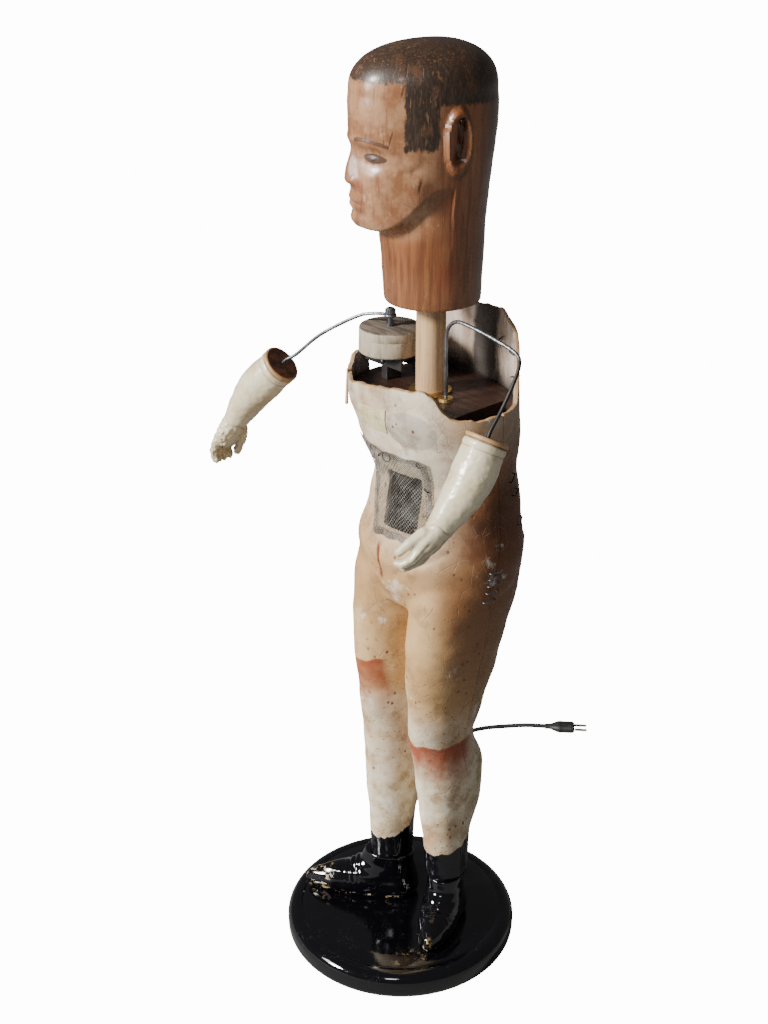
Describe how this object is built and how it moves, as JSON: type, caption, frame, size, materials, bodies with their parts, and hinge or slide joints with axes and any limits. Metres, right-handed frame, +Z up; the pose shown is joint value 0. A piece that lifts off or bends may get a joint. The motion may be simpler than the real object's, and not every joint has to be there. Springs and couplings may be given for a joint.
{
  "type": "shop figure",
  "caption": "Tall hollow papier-mache figure with a carved wooden head on a dowel, doll forearms on steel wires, a belly loudspeaker and a round black base.",
  "frame": {"origin": "centre of the round base's underside, on the surface it stands on", "axes": "+Z up, the body faces -Y, the figure's left is +X"},
  "size_m": [0.4429, 0.6604, 1.0995],
  "materials": {
    "black_gloss_paint": "thick black gloss enamel",
    "papier_mache": "painted and aged papier-mache",
    "carved_wood": "oiled and waxed carved wood",
    "pale_wood": "plain turned dowel",
    "grey_wood": "weathered bare wood",
    "dark_wood": "old brown-stained board",
    "plug_wood": "dark varnished wood",
    "ivory_composition": "enamelled composition",
    "ivory_plastic": "moulded",
    "steel_wire": "bare steel",
    "dark_wire": "blackened wire",
    "black_steel": "black paint",
    "wire_mesh": "dull galvanised weave",
    "speaker_paper": "grey pulp paper",
    "old_tape": "yellowed cloth tape",
    "phenolic_board": "brown laminate",
    "brass_fittings": "dull brass",
    "black_rubber": "matt"
  },
  "bodies": {
    "body": {"base_plinth": "black_gloss_paint", "right_boot": "black_gloss_paint", "left_boot": "black_gloss_paint", "right_boot_screw": "steel_wire", "left_boot_screw": "steel_wire", "front_shell": "papier_mache", "back_shell": "papier_mache", "chest_board": "dark_wood", "waist_shelf": "dark_wood", "neck_bush": "brass_fittings", "neck_motor": "black_steel", "motor_strap": "black_steel", "speaker_frame": "black_steel", "speaker_cone": "speaker_paper", "speaker_magnet": "steel_wire", "grille_mesh": "wire_mesh", "tape_patch": "old_tape", "mains_transformer": "black_steel", "sound_board": "phenolic_board", "terminal_block": "ivory_plastic", "shoulder_bracket": "black_steel", "bracket_rivet": "steel_wire", "shoulder_puck": "grey_wood", "left_wire_socket": "brass_fittings", "hip_staple_1": "steel_wire", "hip_staple_2": "steel_wire", "hip_staple_3": "steel_wire", "hip_staple_4": "steel_wire", "hip_staple_5": "steel_wire", "side_staple_1": "dark_wire", "side_staple_2": "dark_wire", "side_staple_3": "dark_wire", "grille_staple_1": "dark_wire", "grille_staple_2": "dark_wire", "grille_staple_3": "dark_wire", "grille_staple_4": "dark_wire", "cord_grommet": "black_rubber", "cord_drop": "black_rubber", "cord_coil": "black_rubber", "cord_tail": "black_rubber", "plug_body": "black_rubber", "plug_pin_left": "brass_fittings", "plug_pin_right": "brass_fittings"},
    "head_and_dowel": {"neck_dowel": "pale_wood", "neck_motor_shaft": "steel_wire", "head": "carved_wood"},
    "right_wire": {"arm_spindle": "steel_wire", "spindle_nut": "steel_wire", "right_arm_wire": "steel_wire"},
    "right_doll_arm": {"right_forearm": "ivory_composition", "right_elbow_plug": "plug_wood"},
    "left_wire": {"left_arm_wire": "steel_wire"},
    "left_doll_arm": {"left_forearm": "ivory_composition", "left_elbow_plug": "plug_wood"}
  },
  "joints": [
    {"name": "head_turn", "type": "hinge", "parent": "body", "child": "head_and_dowel", "pos_m": [0.02, 0.021, 0.834], "axis": [0, 0, 1], "range_deg": [-45, 80]},
    {"name": "right_arm_swing", "type": "hinge", "parent": "body", "child": "right_wire", "pos_m": [-0.043, 0.021, 0.7998], "axis": [0, 0, 1], "range_deg": [-40, 30]},
    {"name": "right_forearm_twist", "type": "hinge", "parent": "right_wire", "child": "right_doll_arm", "pos_m": [-0.172, -0.028, 0.722], "axis": [-0.6695, -0.2498, -0.6995], "range_deg": [-90, 90]},
    {"name": "left_arm_swing", "type": "hinge", "parent": "body", "child": "left_wire", "pos_m": [0.052, 0.013, 0.76], "axis": [0, 0, 1], "range_deg": [-40, 10]},
    {"name": "left_forearm_twist", "type": "hinge", "parent": "left_wire", "child": "left_doll_arm", "pos_m": [0.162, -0.038, 0.734], "axis": [0, -0.4983, -0.867], "range_deg": [-90, 90]}
  ]
}
